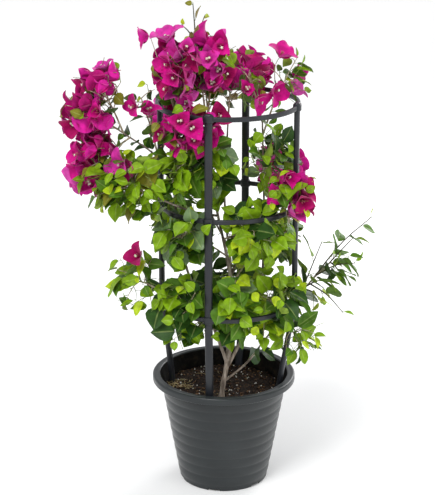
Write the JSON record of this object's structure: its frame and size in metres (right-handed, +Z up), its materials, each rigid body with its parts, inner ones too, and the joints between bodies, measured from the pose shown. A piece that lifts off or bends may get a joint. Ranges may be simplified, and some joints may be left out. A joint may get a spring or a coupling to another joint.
{
  "type": "potted bougainvillea bush",
  "caption": "Flowering bougainvillea bush trained through a round climbing frame in a banded nursery pot.",
  "frame": {"origin": "centre of the pot's flat underside", "axes": "+Z up along the pot's axis; the plant's front faces -Y and its long arm of bloom reaches towards -X"},
  "size_m": [0.5781, 0.2998, 0.951],
  "materials": {
    "pot": "satin",
    "soil": "matte",
    "frame": "satin",
    "bark": "matte",
    "leaves": "satin",
    "blooms": "matte",
    "twigs": "matte",
    "petals": "matte"
  },
  "bodies": {
    "root": {"arm_bough": "bark", "arm_inner": "blooms", "arm_leaves": "leaves", "arm_low": "blooms", "arm_outer": "blooms", "arm_top": "blooms", "back_left": "leaves", "back_left_bloom": "blooms", "back_left_bough": "bark", "back_low": "leaves", "back_middle": "leaves", "back_right": "leaves", "back_right_bloom": "blooms", "back_right_bough": "bark", "back_top": "blooms", "crown_left": "blooms", "crown_right": "blooms", "crown_top": "blooms", "front_bloom": "blooms", "inner_left": "leaves", "left_bough": "bark", "low_branch": "bark", "low_left": "leaves", "low_left_bough": "bark", "low_left_spray": "leaves", "low_middle": "leaves", "low_right": "leaves", "main_stem": "bark", "middle_left": "leaves", "middle_right": "leaves", "post_back": "frame", "post_front": "frame", "post_left": "frame", "post_right": "frame", "pot": "pot", "right_bloom": "blooms", "right_bough": "bark", "right_low": "leaves", "right_spray": "leaves", "right_top": "blooms", "ring_low_back_to_left": "frame", "ring_low_front_to_right": "frame", "ring_low_left_to_front": "frame", "ring_low_right_to_back": "frame", "ring_middle_back_to_left": "frame", "ring_middle_front_to_right": "frame", "ring_middle_left_to_front": "frame", "ring_middle_right_to_back": "frame", "ring_top_back_to_left": "frame", "ring_top_front_to_right": "frame", "ring_top_left_to_front": "frame", "ring_top_right_to_back": "frame", "shoot_top": "leaves", "soil": "soil", "stem_back": "bark", "stem_centre": "bark", "stem_left": "bark", "stem_right": "bark", "upper_middle": "leaves", "upper_right": "leaves"}
  },
  "joints": []
}
